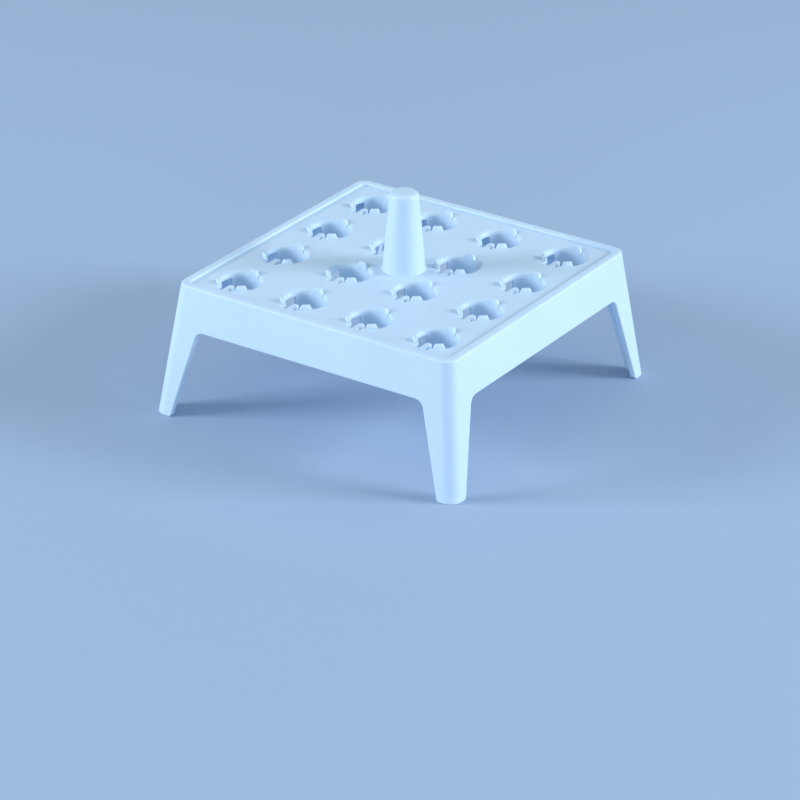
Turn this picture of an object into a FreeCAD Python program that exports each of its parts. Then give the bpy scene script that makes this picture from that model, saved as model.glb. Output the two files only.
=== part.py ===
"""Microcentrifuge tube rack: one white polypropylene moulding that stands on four splayed
legs in an ice bucket or on a bench and holds a square grid of small tubes by their collars.

The origin is the centre of the footprint, at the level of the feet; +Z is up and the rows of
tube holes run along X and Y. Millimetres and degrees throughout.
"""

import FreeCAD, Part
import os
import Sketcher

doc = FreeCAD.newDocument("tube_rack")

# ---------------------------------------------------------------------------------------------
# Driving sizes. Everything else is worked out from these.
# ---------------------------------------------------------------------------------------------
SIZES = {
    # the grid of places
    "hole_pitch": 23.4,          # between neighbouring tube holes, both ways
    "place_count": 4,            # tube holes along each side
    "field_margin": 11.1,        # outermost hole's axis to the foot of the border
    # the shell
    "rack_height": 42.2,         # feet to the top of the border
    "draft_angle": 7.45,         # splay of the four sides and the legs
    "wall_thickness": 2.0,
    "deck_thickness": 1.9,
    "corner_radius": 4.0,        # upright corners, outside
    "top_edge_radius": 0.9,      # the rounded shoulder
    "border_width": 2.5,         # foot of the border's step to the side, before rounding
    "border_rise": 0.85,         # border above the sunk field of the deck
    "field_corner_radius": 2.0,
    # the skirt and legs
    "skirt_depth": 13.5,         # border top to the skirt's lower edge
    "leg_width_top": 10.4,       # each face of a leg where it leaves the skirt
    "leg_width_foot": 6.2,       # and at the ground
    "arch_radius": 3.0,          # inside corner between leg and skirt
    "toe_radius": 1.0,           # the foot's inner corners
    # the lifting post
    "post_height": 25.0,         # above the field of the deck
    "post_base": 13.0,           # diameters
    "post_tip": 8.9,
    "post_wall": 1.8,
    "post_tip_radius": 1.4,
    "post_root_radius": 0.6,
    # one tube place
    "tube_bore": 12.3,           # diameter
    "lip_radius": 1.6,           # rounded lead-in on the deck
    "tongue_width": 1.95,
    "tongue_offset": 0.22,       # its middle, to the +X side of the bore's axis
    "tongue_reach": 3.9,         # bore's axis to the tongue's tip
    "slot_end": 8.3,             # bore's axis to the far end of the slots
    "slot_wide": 1.95,           # slot on the -X side of the tongue
    "slot_narrow": 0.9,          # slot on the +X side
    "collar_drop": 3.5,          # guide wall under the deck
    "collar_wall": 1.1,
    "collar_start_angle": 30.0,  # its two ends, turned from +X
    "collar_end_angle": 150.0,
    "lug_rise": 1.15,            # raised pads round the bore
    "lug_depth": 0.95,           # bore's wall to a pad's outer face
    "lug_foot": 4.4,             # a pad's width at the foot of the lead-in
    "lug_top": 2.3,              # and at its top
}
LUG_ANGLES = (-51.0, 87.0, 228.0)    # directions of the pads from the bore's axis, turned from +X

sheet = doc.addObject("Spreadsheet::Sheet", "sizes")
for row, (alias, number) in enumerate(SIZES.items(), start=1):
    sheet.set(f"A{row}", alias)
    sheet.set(f"B{row}", str(number))
    sheet.setAlias(f"B{row}", alias)
doc.recompute()


def S(text):
    """An expression in the sheet's aliases, written out for setExpression."""
    for alias in sorted(SIZES, key=len, reverse=True):
        text = text.replace(f"<{alias}>", f"sizes.{alias}")
    return text


# Sizes that follow from the driving ones
SLOPE = S("tan(<draft_angle>)")
FIELD_HALF = S("((<place_count> - 1) / 2 * <hole_pitch> + <field_margin>)")
TOP_HALF = S(f"({FIELD_HALF} + <border_width>)")
FOOT_HALF = S(f"({TOP_HALF} + <rack_height> * {SLOPE})")
FIELD_Z = S("(<rack_height> - <border_rise>)")
UNDER_Z = S(f"({FIELD_Z} - <deck_thickness>)")
SKIRT_Z = S("(<rack_height> - <skirt_depth>)")
SKIRT_HALF = S(f"({FOOT_HALF} - {SKIRT_Z} * {SLOPE})")
FIRST = S("(-(<place_count> - 1) / 2 * <hole_pitch>)")
BORE_R = S("(<tube_bore> / 2)")


def size(text):
    """The present value of an expression, for drawing a sketch near its final shape."""
    return float(sheet.evalExpression(text))


rack = doc.addObject("PartDesign::Body", "tube_rack")
rack.Label = "tube_rack"


def origin_part(role):
    return [o for o in rack.Origin.OriginFeatures if o.Role == role][0]


def sketch(name, plane, at=None, turn=0.0):
    """A sketch on one of the body's origin planes; `at` shifts its own origin (local x, y, z)
    and `turn` swings it about its own upright axis."""
    drawing = rack.newObject("Sketcher::SketchObject", name)
    drawing.AttachmentSupport = [(origin_part(plane), "")]
    drawing.MapMode = "FlatFace"
    drawing.AttachmentOffset = FreeCAD.Placement(
        FreeCAD.Vector(), FreeCAD.Rotation(FreeCAD.Vector(0, 1, 0), turn))
    for axis, text in zip("xyz", at or ()):
        drawing.setExpression(f"AttachmentOffset.Base.{axis}", text)
    return drawing


def pin(drawing, edge, end, x=None, y=None):
    """Tie one end of a sketch edge to expressions measured from the sketch's origin."""
    for kind, text in (("DistanceX", x), ("DistanceY", y)):
        if text is not None:
            number = drawing.addConstraint(
                Sketcher.Constraint(kind, -1, 1, edge, end, size(text)))
            drawing.setExpression(f"Constraints[{number}]", text)


def outline(drawing, corners):
    """A closed run of straight edges through corners given as pairs of expressions."""
    points = [FreeCAD.Vector(size(x), size(y), 0) for x, y in corners]
    first = None
    for k, point in enumerate(points):
        edge = drawing.addGeometry(Part.LineSegment(point, points[(k + 1) % len(points)]))
        first = edge if first is None else first
    for k, (x, y) in enumerate(corners):
        drawing.addConstraint(Sketcher.Constraint(
            "Coincident", first + k, 2, first + (k + 1) % len(points), 1))
        pin(drawing, first + k, 1, x, y)


def square(drawing, half):
    outline(drawing, [(f"-{half}", f"-{half}"), (half, f"-{half}"), (half, half), (f"-{half}", half)])


def rounding(x, y, radius, start, stop, bands=3):
    """Corners along an arc about (x, y): a small rounding of a turned profile, taken in bands."""
    turns = [start + (stop - start) * k / bands for k in range(bands + 1)]
    return [(f"({x} + {radius} * cos({turn}))", f"({y} + {radius} * sin({turn}))")
            for turn in turns]


def ring_sector(drawing, inner, outer, start, stop):
    """A piece of a ring about the sketch's origin between two directions."""
    arcs = []
    for radius in (inner, outer):
        circle = Part.Circle(FreeCAD.Vector(), FreeCAD.Vector(0, 0, 1), size(radius))
        arc = drawing.addGeometry(Part.ArcOfCircle(
            circle, size(start) * 3.14159265 / 180, size(stop) * 3.14159265 / 180))
        drawing.addConstraint(Sketcher.Constraint("Coincident", arc, 3, -1, 1))
        number = drawing.addConstraint(Sketcher.Constraint("Radius", arc, size(radius)))
        drawing.setExpression(f"Constraints[{number}]", radius)
        arcs.append((arc, radius))
    for end, turn in ((1, start), (2, stop)):
        tips = []
        for arc, radius in arcs:
            x, y = f"{radius} * cos({turn})", f"{radius} * sin({turn})"
            pin(drawing, arc, end, x=x if abs(size(y)) > abs(size(x)) else None,
                y=y if abs(size(y)) <= abs(size(x)) else None)
            tips.append(FreeCAD.Vector(size(x), size(y), 0))
        side = drawing.addGeometry(Part.LineSegment(*tips))
        for (arc, radius), which in zip(arcs, (1, 2)):
            drawing.addConstraint(Sketcher.Constraint("Coincident", side, which, arc, end))


def feature(kind, name, profile, **settings):
    """A PartDesign feature on a sketch; text settings are bound to the sheet."""
    made = rack.newObject(f"PartDesign::{kind}", name)
    made.Profile = profile
    for key, setting in settings.items():
        if isinstance(setting, str) and key not in ("Type", "SideType"):
            made.setExpression(key, setting)
        else:
            setattr(made, key, setting)
    doc.recompute()
    return made


def fillet(name, base, radius, wanted):
    """Round every edge of `base` for which wanted(edge) holds."""
    picked = [f"Edge{k}" for k, edge in enumerate(base.Shape.Edges, start=1) if wanted(edge)]
    if not picked:
        raise RuntimeError(f"{name}: no edge to round")
    made = rack.newObject("PartDesign::Fillet", name)
    made.Base = (base, picked)
    made.setExpression("Radius", radius)
    doc.recompute()
    return made


def near(value, text, slack=0.05):
    return abs(value - size(text)) < slack


# ---------------------------------------------------------------------------------------------
# The shell: a square tray upside down, with splayed sides
# ---------------------------------------------------------------------------------------------
footprint = sketch("footprint", "XY_Plane")
square(footprint, FOOT_HALF)
block = feature("Pad", "block", footprint, Length=S("<rack_height>"))


def splay(name, base, hinge, wanted, reverse=False):
    """Lean the upright faces for which wanted(face) holds about their line in the hinge plane."""
    made = rack.newObject("PartDesign::Draft", name)
    made.Base = (base, [f"Face{k}" for k, face in enumerate(base.Shape.Faces, start=1)
                        if abs(face.normalAt(0, 0).z) < 1e-6 and wanted(face)])
    made.NeutralPlane = hinge
    made.Reversed = reverse
    made.setExpression("Angle", S("<draft_angle>"))
    doc.recompute()
    return made


splayed = splay("splayed_sides", block, (origin_part("XY_Plane"), [""]), lambda face: True)


def upright(edge):
    box = edge.BoundBox
    return box.ZLength > 0.5 * size(S("<rack_height>"))


corners = fillet("corners", splayed, S("<corner_radius>"), upright)

# The hollow is cut to its ceiling's size and its walls are then leaned out to match the sides
inside = sketch("inside", "XY_Plane")
square(inside, S(f"({FOOT_HALF} - <wall_thickness> - {UNDER_Z} * {SLOPE})"))
cavity = feature("Pocket", "cavity", inside, Reversed=True, Length=UNDER_Z)
ceiling = [f"Face{k}" for k, face in enumerate(cavity.Shape.Faces, start=1)
           if near(face.BoundBox.ZMin, UNDER_Z) and near(face.BoundBox.ZMax, UNDER_Z)]
hollowed = splay("splayed_inside", cavity, (cavity, ceiling),
                 lambda face: near(face.BoundBox.ZMax, UNDER_Z), reverse=True)

hollow_corners = fillet("hollow_corners", hollowed, S("<corner_radius> - <wall_thickness>"), lambda edge: (
    upright(edge) and edge.BoundBox.ZMax < size(UNDER_Z) + 0.05))
shoulder = fillet("shoulder", hollow_corners, S("<top_edge_radius>"), lambda edge: (
    edge.BoundBox.ZLength < 0.01 and near(edge.BoundBox.ZMax, S("<rack_height>"))))

# The deck's field is sunk below a flat border that runs all the way round
field = sketch("field", "XY_Plane", at=("0", "0", FIELD_Z))
square(field, FIELD_HALF)
sunk = feature("Pocket", "sunk_field", field, Reversed=True, Length=S("2 * <border_rise>"))
field_corners = fillet("field_corners", sunk, S("<field_corner_radius>"), lambda edge: (
    near(edge.BoundBox.ZLength, S("<border_rise>")) and edge.BoundBox.XLength < 0.01
    and edge.BoundBox.YLength < 0.01))

# ---------------------------------------------------------------------------------------------
# The arches: a wide opening in each side leaves the skirt and four angle-section legs
# ---------------------------------------------------------------------------------------------
ARCH_TOP = S(f"({SKIRT_HALF} - <leg_width_top>)")
ARCH_FOOT = S(f"({FOOT_HALF} - <leg_width_foot>)")
arched = field_corners
for name, plane in (("arch_front", "XZ_Plane"), ("arch_side", "YZ_Plane")):
    opening = sketch(name, plane)
    outline(opening, [(f"-{ARCH_FOOT}", "0"), (ARCH_FOOT, "0"), (ARCH_TOP, SKIRT_Z),
                      (f"-{ARCH_TOP}", SKIRT_Z)])
    arched = feature("Pocket", name + "_cut", opening, SideType="Symmetric", Length="3 * " + FOOT_HALF)


def arch_corner(edge):
    """The short edge through the wall where a leg's inner side meets the skirt."""
    box = edge.BoundBox
    reach = sorted((abs(box.Center.x), abs(box.Center.y)))
    return (near(box.ZMax, SKIRT_Z, 0.02) and box.ZLength < 0.02 and near(reach[0], ARCH_TOP)
            and box.DiagonalLength < 2 * size(S("<wall_thickness>")))


arch_round = fillet("arch_round", arched, S("<arch_radius>"), arch_corner)


def toe(edge):
    """The edge at the ground across the end of each leg's face."""
    box = edge.BoundBox
    reach = sorted((abs(box.Center.x), abs(box.Center.y)))
    return (box.ZMax < 0.01 and near(reach[0], ARCH_FOOT)
            and near(box.DiagonalLength, S("<wall_thickness>"), 0.1))


toes = fillet("toes", arch_round, S("<toe_radius>"), toe)

# ---------------------------------------------------------------------------------------------
# The lifting post: a tapered hollow peg in the middle, open underneath
# ---------------------------------------------------------------------------------------------
POST_Z = S(f"({FIELD_Z} + <post_height>)")
DECK_MID = S(f"({FIELD_Z} - <deck_thickness> / 2)")
ROOT_R = S("(<post_base> / 2 + <post_root_radius>)")
profile = sketch("post_profile", "XZ_Plane")
outline(profile, [
    ("0", DECK_MID), (ROOT_R, DECK_MID),
    *rounding(ROOT_R, S(f"({FIELD_Z} + <post_root_radius>)"), S("<post_root_radius>"), 270, 180, 2),
    *rounding(S("(<post_tip> / 2 - <post_tip_radius>)"), S(f"({POST_Z} - <post_tip_radius>)"),
              S("<post_tip_radius>"), 0, 90),
    ("0", POST_Z)])
post = feature("Revolution", "post", profile, Angle=360.0, ReferenceAxis=(profile, ["V_Axis"]))

hollow = sketch("post_hollow", "XZ_Plane")
outline(hollow, [("0", SKIRT_Z), (S("<post_base> / 2 - <post_wall>"), SKIRT_Z),
                 (S("<post_base> / 2 - <post_wall>"), UNDER_Z),
                 (S("<post_tip> / 2 - <post_wall>"), S(f"{POST_Z} - <post_wall>")),
                 ("0", S(f"{POST_Z} - <post_wall>"))])
bored_post = feature("Groove", "post_bore", hollow, Angle=360.0, ReferenceAxis=(hollow, ["V_Axis"]))

# ---------------------------------------------------------------------------------------------
# One tube place, at the corner of the grid nearest -X -Y
# ---------------------------------------------------------------------------------------------
# A guide wall hangs under the deck round the side of the bore opposite the tongue
place = (FIRST, FIRST)
collar = sketch("collar", "XY_Plane", at=(*place, S(f"{UNDER_Z} - <collar_drop>")))
ring_sector(collar, BORE_R, S(f"({BORE_R} + <collar_wall>)"), S("<collar_start_angle>"), S("<collar_end_angle>"))
collar_wall = feature("Pad", "collar_wall", collar, Length=S("<collar_drop> + <deck_thickness> / 2"))

# The rounded lead-in round the bore
LIP_R = S(f"({BORE_R} + <lip_radius>)")
LIP_Z = S(f"({FIELD_Z} - <lip_radius>)")
lip = sketch("lip", "XZ_Plane", at=(FIRST, "0", S(f"-{FIRST}")))
outline(lip, [*rounding(LIP_R, LIP_Z, S("<lip_radius>"), 180, 90, 2), (BORE_R, FIELD_Z)])
lip_cut = feature("Groove", "lead_in", lip, Angle=360.0, ReferenceAxis=(lip, ["V_Axis"]))

# Three small pads with sloping flanks rise out of the lead-in. Each is run out from the bore's
# axis, and the bore then trims it flush with its wall.
LUG_Z = S(f"({FIELD_Z} + <lug_rise>)")
lug_pads = []
for count, turn in enumerate(LUG_ANGLES, start=1):
    lug = sketch(f"lug_{count}", "XZ_Plane", at=(FIRST, "0", S(f"-{FIRST}")), turn=turn + 90)
    outline(lug, [(S("-<lug_foot> / 2"), LIP_Z), (S("<lug_foot> / 2"), LIP_Z),
                  (S("<lug_top> / 2"), LUG_Z), (S("-<lug_top> / 2"), LUG_Z)])
    lug_pads.append(feature("Pad", f"lug_pad_{count}", lug, Length=S(f"({BORE_R} + <lug_depth>)")))

# A window opens out of the bore towards -Y, for the tongue and the two slots beside it
TONGUE_LEFT = S("(<tongue_offset> - <tongue_width> / 2)")
TONGUE_RIGHT = S("(<tongue_offset> + <tongue_width> / 2)")
WINDOW_END = S("(-<slot_end>)")
WINDOW_LEFT = S(f"({TONGUE_LEFT} - <slot_wide>)")
WINDOW_RIGHT = S(f"({TONGUE_RIGHT} + <slot_narrow>)")
window = sketch("window", "XY_Plane", at=(*place, FIELD_Z))
outline(window, [(WINDOW_LEFT, WINDOW_END), (WINDOW_RIGHT, WINDOW_END),
                 (WINDOW_RIGHT, S("-<tongue_reach>")), (WINDOW_LEFT, S("-<tongue_reach>"))])
slots = feature("Pocket", "slots", window, Length=S("<deck_thickness>"))

bore_circle = sketch("bore_circle", "XY_Plane", at=(*place, LUG_Z))
circle = bore_circle.addGeometry(Part.Circle(
    FreeCAD.Vector(), FreeCAD.Vector(0, 0, 1), size(BORE_R)))
bore_circle.addConstraint(Sketcher.Constraint("Coincident", circle, 3, -1, 1))
number = bore_circle.addConstraint(Sketcher.Constraint("Radius", circle, size(BORE_R)))
bore_circle.setExpression(f"Constraints[{number}]", BORE_R)
bore = feature("Pocket", "bore", bore_circle,
               Length=S("<lug_rise> + <deck_thickness> + 2 * <collar_drop>"))

# The springy tongue reaches back through the window into the bore, to bear on the tube
strip = sketch("strip", "XY_Plane", at=(*place, UNDER_Z))
outline(strip, [(TONGUE_LEFT, WINDOW_END),
                *rounding(S("<tongue_offset>"), S("(-<tongue_reach> - <tongue_width> / 2)"),
                          S("(<tongue_width> / 2)"), 180, 0, 4),
                (TONGUE_RIGHT, WINDOW_END)])
tongue = feature("Pad", "tongue", strip, Length=S("<deck_thickness>"))

# The place is repeated along X and Y
grid = rack.newObject("PartDesign::LinearPattern", "grid")
grid.Originals = [collar_wall, lip_cut, *lug_pads, slots, bore, tongue]
grid.Direction = (origin_part("X_Axis"), [""])
grid.Direction2 = (origin_part("Y_Axis"), [""])
GRID_SPAN = S("((<place_count> - 1) * <hole_pitch>)")
for key, text in (("Length", GRID_SPAN), ("Length2", GRID_SPAN),
                  ("Occurrences", S("<place_count>")), ("Occurrences2", S("<place_count>"))):
    grid.setExpression(key, text)
rack.Tip = grid
doc.recompute()

# ---------------------------------------------------------------------------------------------
# Checks, then the file
# ---------------------------------------------------------------------------------------------
failed = [item.Name for item in doc.Objects
          if "Invalid" in item.State or "Error" in item.State]
if failed:
    raise RuntimeError(f"not worked out: {failed}")
if rack.Shape.isNull() or not rack.Shape.isValid() or len(rack.Shape.Solids) != 1:
    raise RuntimeError("the rack is not one valid solid")
os.makedirs("parts", exist_ok=True)
rack.Shape.exportStep(f"parts/{rack.Label}.step")
print(rack.Shape.Volume, rack.Shape.BoundBox, len(rack.Shape.Faces))
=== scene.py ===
import math

import bmesh
import bpy
from mathutils import Matrix, Vector


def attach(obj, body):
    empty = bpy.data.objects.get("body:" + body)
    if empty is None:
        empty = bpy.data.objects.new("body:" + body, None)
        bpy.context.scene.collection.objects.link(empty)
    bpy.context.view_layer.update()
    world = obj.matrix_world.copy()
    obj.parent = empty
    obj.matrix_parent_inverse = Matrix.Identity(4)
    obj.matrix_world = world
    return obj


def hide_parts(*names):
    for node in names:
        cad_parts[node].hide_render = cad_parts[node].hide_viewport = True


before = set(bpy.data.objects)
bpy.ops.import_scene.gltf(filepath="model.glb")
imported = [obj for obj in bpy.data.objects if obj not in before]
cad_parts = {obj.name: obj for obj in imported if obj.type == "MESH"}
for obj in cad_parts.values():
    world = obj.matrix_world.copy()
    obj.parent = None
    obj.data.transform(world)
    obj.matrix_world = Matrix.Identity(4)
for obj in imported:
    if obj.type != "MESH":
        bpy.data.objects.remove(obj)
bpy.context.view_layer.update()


# --- The rack -------------------------------------------------------------------------------
# One injection moulding in white polypropylene: deck, border, skirt, four legs, lifting post
# and sixteen tube places all come out of the mould together. Satin, and a little translucent.

EDGE_ROUNDING = 0.00025      # what the mould leaves on an edge that is drawn sharp
UP_A_BORE = 0.2              # share of it on an edge up a bore's wall, whose facets are narrow
ROUNDED_ABOVE = math.radians(50)     # turn between two faces that makes an edge of them
FLAT_WITHIN = math.radians(0.6)      # turn between two triangles that are one face
HOLE_PITCH = 0.0234
BORE_LINES = [HOLE_PITCH * step for step in (-1.5, -0.5, 0.5, 1.5)]     # the axes, along X and along Y
BORE_RADIUS = 0.00615
DECK_TOP = 0.04135           # above the ground
LEAD_IN_RADIUS = 0.0016      # the quarter round between a bore's wall and the deck's top
LEAD_IN_FOOT = DECK_TOP - LEAD_IN_RADIUS
NEARLY = 0.0001
SAME_CORNER = 1e-6           # corners of the solid's triangles this close are one
SAME_ROUNDED_CORNER = 2e-6   # and corners that the rounding leaves this close

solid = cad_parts["tube_rack"]
drawn = bmesh.new()
drawn.from_mesh(solid.data)
bmesh.ops.remove_doubles(drawn, verts=drawn.verts, dist=SAME_CORNER)
bmesh.ops.dissolve_limit(drawn, angle_limit=FLAT_WITHIN, verts=drawn.verts, edges=drawn.edges)


def from_axis(spot):
    """A point's offset, level with the deck, from the nearest bore's axis."""
    column, row = (min(BORE_LINES, key=lambda line: abs(line - along)) for along in spot[:2])
    return Vector((spot[0] - column, spot[1] - row, 0))


def in_lead_in(spot):
    """Whether a point is on a lead-in, where the pads' flanks run out too finely to be rounded."""
    return (LEAD_IN_FOOT - NEARLY < spot.z < DECK_TOP - NEARLY / 2
            and from_axis(spot).length < BORE_RADIUS + LEAD_IN_RADIUS + NEARLY)


def up_bore_wall(edge):
    """Whether an edge runs up a bore's wall, as beside a pad or at a guide wall's end."""
    low, high = (end.co for end in edge.verts)
    return (abs(low.z - high.z) > NEARLY
            and all(from_axis(end).length < BORE_RADIUS + NEARLY for end in (low, high)))


rounded = drawn.edges.layers.float.new("bevel_weight_edge")
for edge in drawn.edges:
    if edge.calc_face_angle() > ROUNDED_ABOVE and not any(in_lead_in(end.co) for end in edge.verts):
        edge[rounded] = UP_A_BORE if up_bore_wall(edge) else 1.0
rack_mesh = bpy.data.meshes.new("rack_shell")
drawn.to_mesh(rack_mesh)
drawn.free()
rack = bpy.data.objects.new("rack_shell", rack_mesh)
bpy.context.scene.collection.objects.link(rack)
rounding = rack.modifiers.new("edge_rounding", "BEVEL")
rounding.width = EDGE_ROUNDING
rounding.segments = 2
rounding.limit_method = "WEIGHT"
rounding.use_clamp_overlap = False
joined_corners = rack.modifiers.new("joined_corners", "WELD")
joined_corners.merge_threshold = SAME_ROUNDED_CORNER
even_shading = rack.modifiers.new("even_shading", "WEIGHTED_NORMAL")
even_shading.keep_sharp = True
# the faces are cut into triangles here, in the way that keeps the mesh closed
cut_faces = rack.modifiers.new("cut_faces", "TRIANGULATE")
cut_faces.ngon_method = "BEAUTY"
cut_faces.keep_custom_normals = True
rack_mesh.shade_smooth()
rack_mesh.set_sharp_from_angle(angle=ROUNDED_ABOVE)
rack_mesh = bpy.data.meshes.new_from_object(rack.evaluated_get(bpy.context.evaluated_depsgraph_get()))
rack.modifiers.clear()
rack.data = rack_mesh

# bore walls and lead-ins are shaded as the true cylinder and quarter round that they stand for
WALL_FACING = 0.9            # least cosine between a wall face's normal and the way to the axis
LEAD_IN_FACING = 0.3         # and for a lead-in's face
LEAD_IN_STEEP = 0.2          # upward part of a lead-in's normals: least, near its foot
LEAD_IN_LEVEL = 0.97         # and most, near its rim
shading = [Vector(corner.vector) for corner in rack_mesh.corner_normals]
for face in rack_mesh.polygons:
    ends = [rack_mesh.vertices[k].co for k in face.vertices]
    reaches = [from_axis(end).length for end in ends]
    inward = -from_axis(face.center).normalized()
    on_wall = (max(reaches) < BORE_RADIUS + NEARLY and min(reaches) > BORE_RADIUS - NEARLY
               and face.normal.dot(inward) > WALL_FACING)
    on_lead_in = (max(reaches) < BORE_RADIUS + LEAD_IN_RADIUS + NEARLY
                  and all(LEAD_IN_FOOT - NEARLY < end.z < DECK_TOP + NEARLY for end in ends)
                  and LEAD_IN_STEEP < face.normal.z < LEAD_IN_LEVEL
                  and face.normal.dot(inward) > LEAD_IN_FACING)
    for corner, end in zip(face.loop_indices, ends):
        offset = from_axis(end)
        if on_wall:
            shading[corner] = -offset.normalized()
        elif on_lead_in:
            centre = offset.normalized() * (BORE_RADIUS + LEAD_IN_RADIUS)
            shading[corner] = (offset - centre + Vector((0, 0, end.z - LEAD_IN_FOOT))).normalized()
rack_mesh.normals_split_custom_set(shading)

DEEPER_WHITE = (0.600, 0.768, 0.915, 1.0)    # the two tones of the cloudy flow in the plastic
PALER_WHITE = (0.630, 0.790, 0.928, 1.0)
rack_plastic = bpy.data.materials.new("white_polypropylene")
rack_plastic.use_nodes = True
nodes = rack_plastic.node_tree.nodes
links = rack_plastic.node_tree.links
shader = nodes["Principled BSDF"]
shader.inputs["IOR"].default_value = 1.49
shader.inputs["Subsurface Weight"].default_value = 0.30
shader.inputs["Subsurface Radius"].default_value = (1.0, 1.1, 1.3)
shader.inputs["Subsurface Scale"].default_value = 0.0015

place = nodes.new("ShaderNodeTexCoord")

# cloudy flow of the melt through the deck: a very faint change of tone
flow = nodes.new("ShaderNodeTexNoise")
flow.inputs["Scale"].default_value = 38.0
flow.inputs["Detail"].default_value = 4.0
flow.inputs["Roughness"].default_value = 0.55
flow.inputs["Distortion"].default_value = 0.6
links.new(place.outputs["Object"], flow.inputs["Vector"])
tone = nodes.new("ShaderNodeValToRGB")
tone.color_ramp.elements[0].position = 0.3
tone.color_ramp.elements[0].color = DEEPER_WHITE
tone.color_ramp.elements[1].position = 0.7
tone.color_ramp.elements[1].color = PALER_WHITE
links.new(flow.outputs["Fac"], tone.inputs["Fac"])
links.new(tone.outputs["Color"], shader.inputs["Base Color"])

# the mould's fine satin grain, with the sheen a touch uneven
grain = nodes.new("ShaderNodeTexNoise")
grain.inputs["Scale"].default_value = 900.0
grain.inputs["Detail"].default_value = 3.0
links.new(place.outputs["Object"], grain.inputs["Vector"])
sheen = nodes.new("ShaderNodeMapRange")
sheen.inputs["To Min"].default_value = 0.36
sheen.inputs["To Max"].default_value = 0.50
links.new(flow.outputs["Fac"], sheen.inputs["Value"])
links.new(sheen.outputs["Result"], shader.inputs["Roughness"])
relief = nodes.new("ShaderNodeBump")
relief.inputs["Strength"].default_value = 0.12
relief.inputs["Distance"].default_value = 0.00004
links.new(grain.outputs["Fac"], relief.inputs["Height"])
links.new(relief.outputs["Normal"], shader.inputs["Normal"])

rack_mesh.materials.append(rack_plastic)
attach(rack, "root")
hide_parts("tube_rack")


# --- Floor ----------------------------------------------------------------------------------
# A plain matt board, painted a pale blue. It isn't part of the object, which stands on it and
# throws its shadow there.

FLOOR_HALF = 4
FLOOR_BLUE = (0.385, 0.50, 0.66, 1.0)
floor_mesh = bpy.data.meshes.new("floor")
floor_mesh.from_pydata([(-FLOOR_HALF, -FLOOR_HALF, 0), (FLOOR_HALF, -FLOOR_HALF, 0),
                        (FLOOR_HALF, FLOOR_HALF, 0), (-FLOOR_HALF, FLOOR_HALF, 0)],
                       [], [(0, 1, 2, 3)])
floor = bpy.data.objects.new("floor", floor_mesh)
bpy.context.scene.collection.objects.link(floor)
floor_paint = bpy.data.materials.new("floor_paint")
floor_paint.use_nodes = True
floor_shader = floor_paint.node_tree.nodes["Principled BSDF"]
floor_shader.inputs["Base Color"].default_value = FLOOR_BLUE
floor_shader.inputs["Roughness"].default_value = 0.9
floor_mesh.materials.append(floor_paint)


# --- Light ----------------------------------------------------------------------------------
# A soft box low on each side of the rack, as the camera looks at it, and a weak one below the
# camera light the upright faces. An even surround fills what they leave dark.

LAMP_COLOUR = (0.80, 0.88, 1.0)
LAMP_AIM = (0, 0, 0.04)      # about the middle of the deck
SURROUND_COLOUR = (0.76, 0.88, 1.0, 1.0)

world = bpy.data.worlds.new("studio")
bpy.context.scene.world = world
world.use_nodes = True
surround = world.node_tree.nodes["Background"]
surround.inputs["Color"].default_value = SURROUND_COLOUR
surround.inputs["Strength"].default_value = 0.49


def soft_box(name, spot, width, watts):
    """A square lamp at a spot, turned towards the deck."""
    lamp = bpy.data.lights.new(name, "AREA")
    lamp.shape = "SQUARE"
    lamp.size = width
    lamp.energy = watts
    lamp.color = LAMP_COLOUR
    holder = bpy.data.objects.new(name, lamp)
    holder.location = spot
    towards = Vector(LAMP_AIM) - Vector(spot)
    holder.rotation_euler = towards.to_track_quat("-Z", "Y").to_euler()
    bpy.context.scene.collection.objects.link(holder)


soft_box("box_right", (1.20, 0.55, 0.55), 0.5, 16.6)
soft_box("box_left", (-1.00, -0.88, 0.55), 0.5, 14.6)
soft_box("box_front", (0.78, -1.17, 0.24), 0.4, 3.3)


# --- Camera ---------------------------------------------------------------------------------
# A long lens above the corner between +X and -Y, turned very slightly about its own axis. It is
# placed by its angles and distance, with its middle shifted a little off the rack's axis.

CAMERA_DISTANCE = 1.0946
SHIFT_RIGHT = -0.00085
SHIFT_UP = -0.00253
azimuth, elevation, roll = (math.radians(turn) for turn in (33.740, 26.308, 0.415))
back = Vector((math.sin(azimuth) * math.cos(elevation),
               -math.cos(azimuth) * math.cos(elevation), math.sin(elevation)))
right = Vector((math.cos(azimuth), math.sin(azimuth), 0))
up = back.cross(right)
across = math.cos(roll) * right + math.sin(roll) * up
upward = -math.sin(roll) * right + math.cos(roll) * up
eye = SHIFT_RIGHT * right + SHIFT_UP * up + CAMERA_DISTANCE * back
camera = bpy.data.objects.new("camera", bpy.data.cameras.new("camera"))
camera.data.lens = 161.27
camera.data.sensor_width = 36.0
camera.matrix_world = Matrix((
    (across.x, upward.x, back.x, eye.x),
    (across.y, upward.y, back.y, eye.y),
    (across.z, upward.z, back.z, eye.z),
    (0, 0, 0, 1)))
bpy.context.scene.collection.objects.link(camera)
bpy.context.scene.camera = camera
bpy.context.scene.view_settings.view_transform = "Standard"
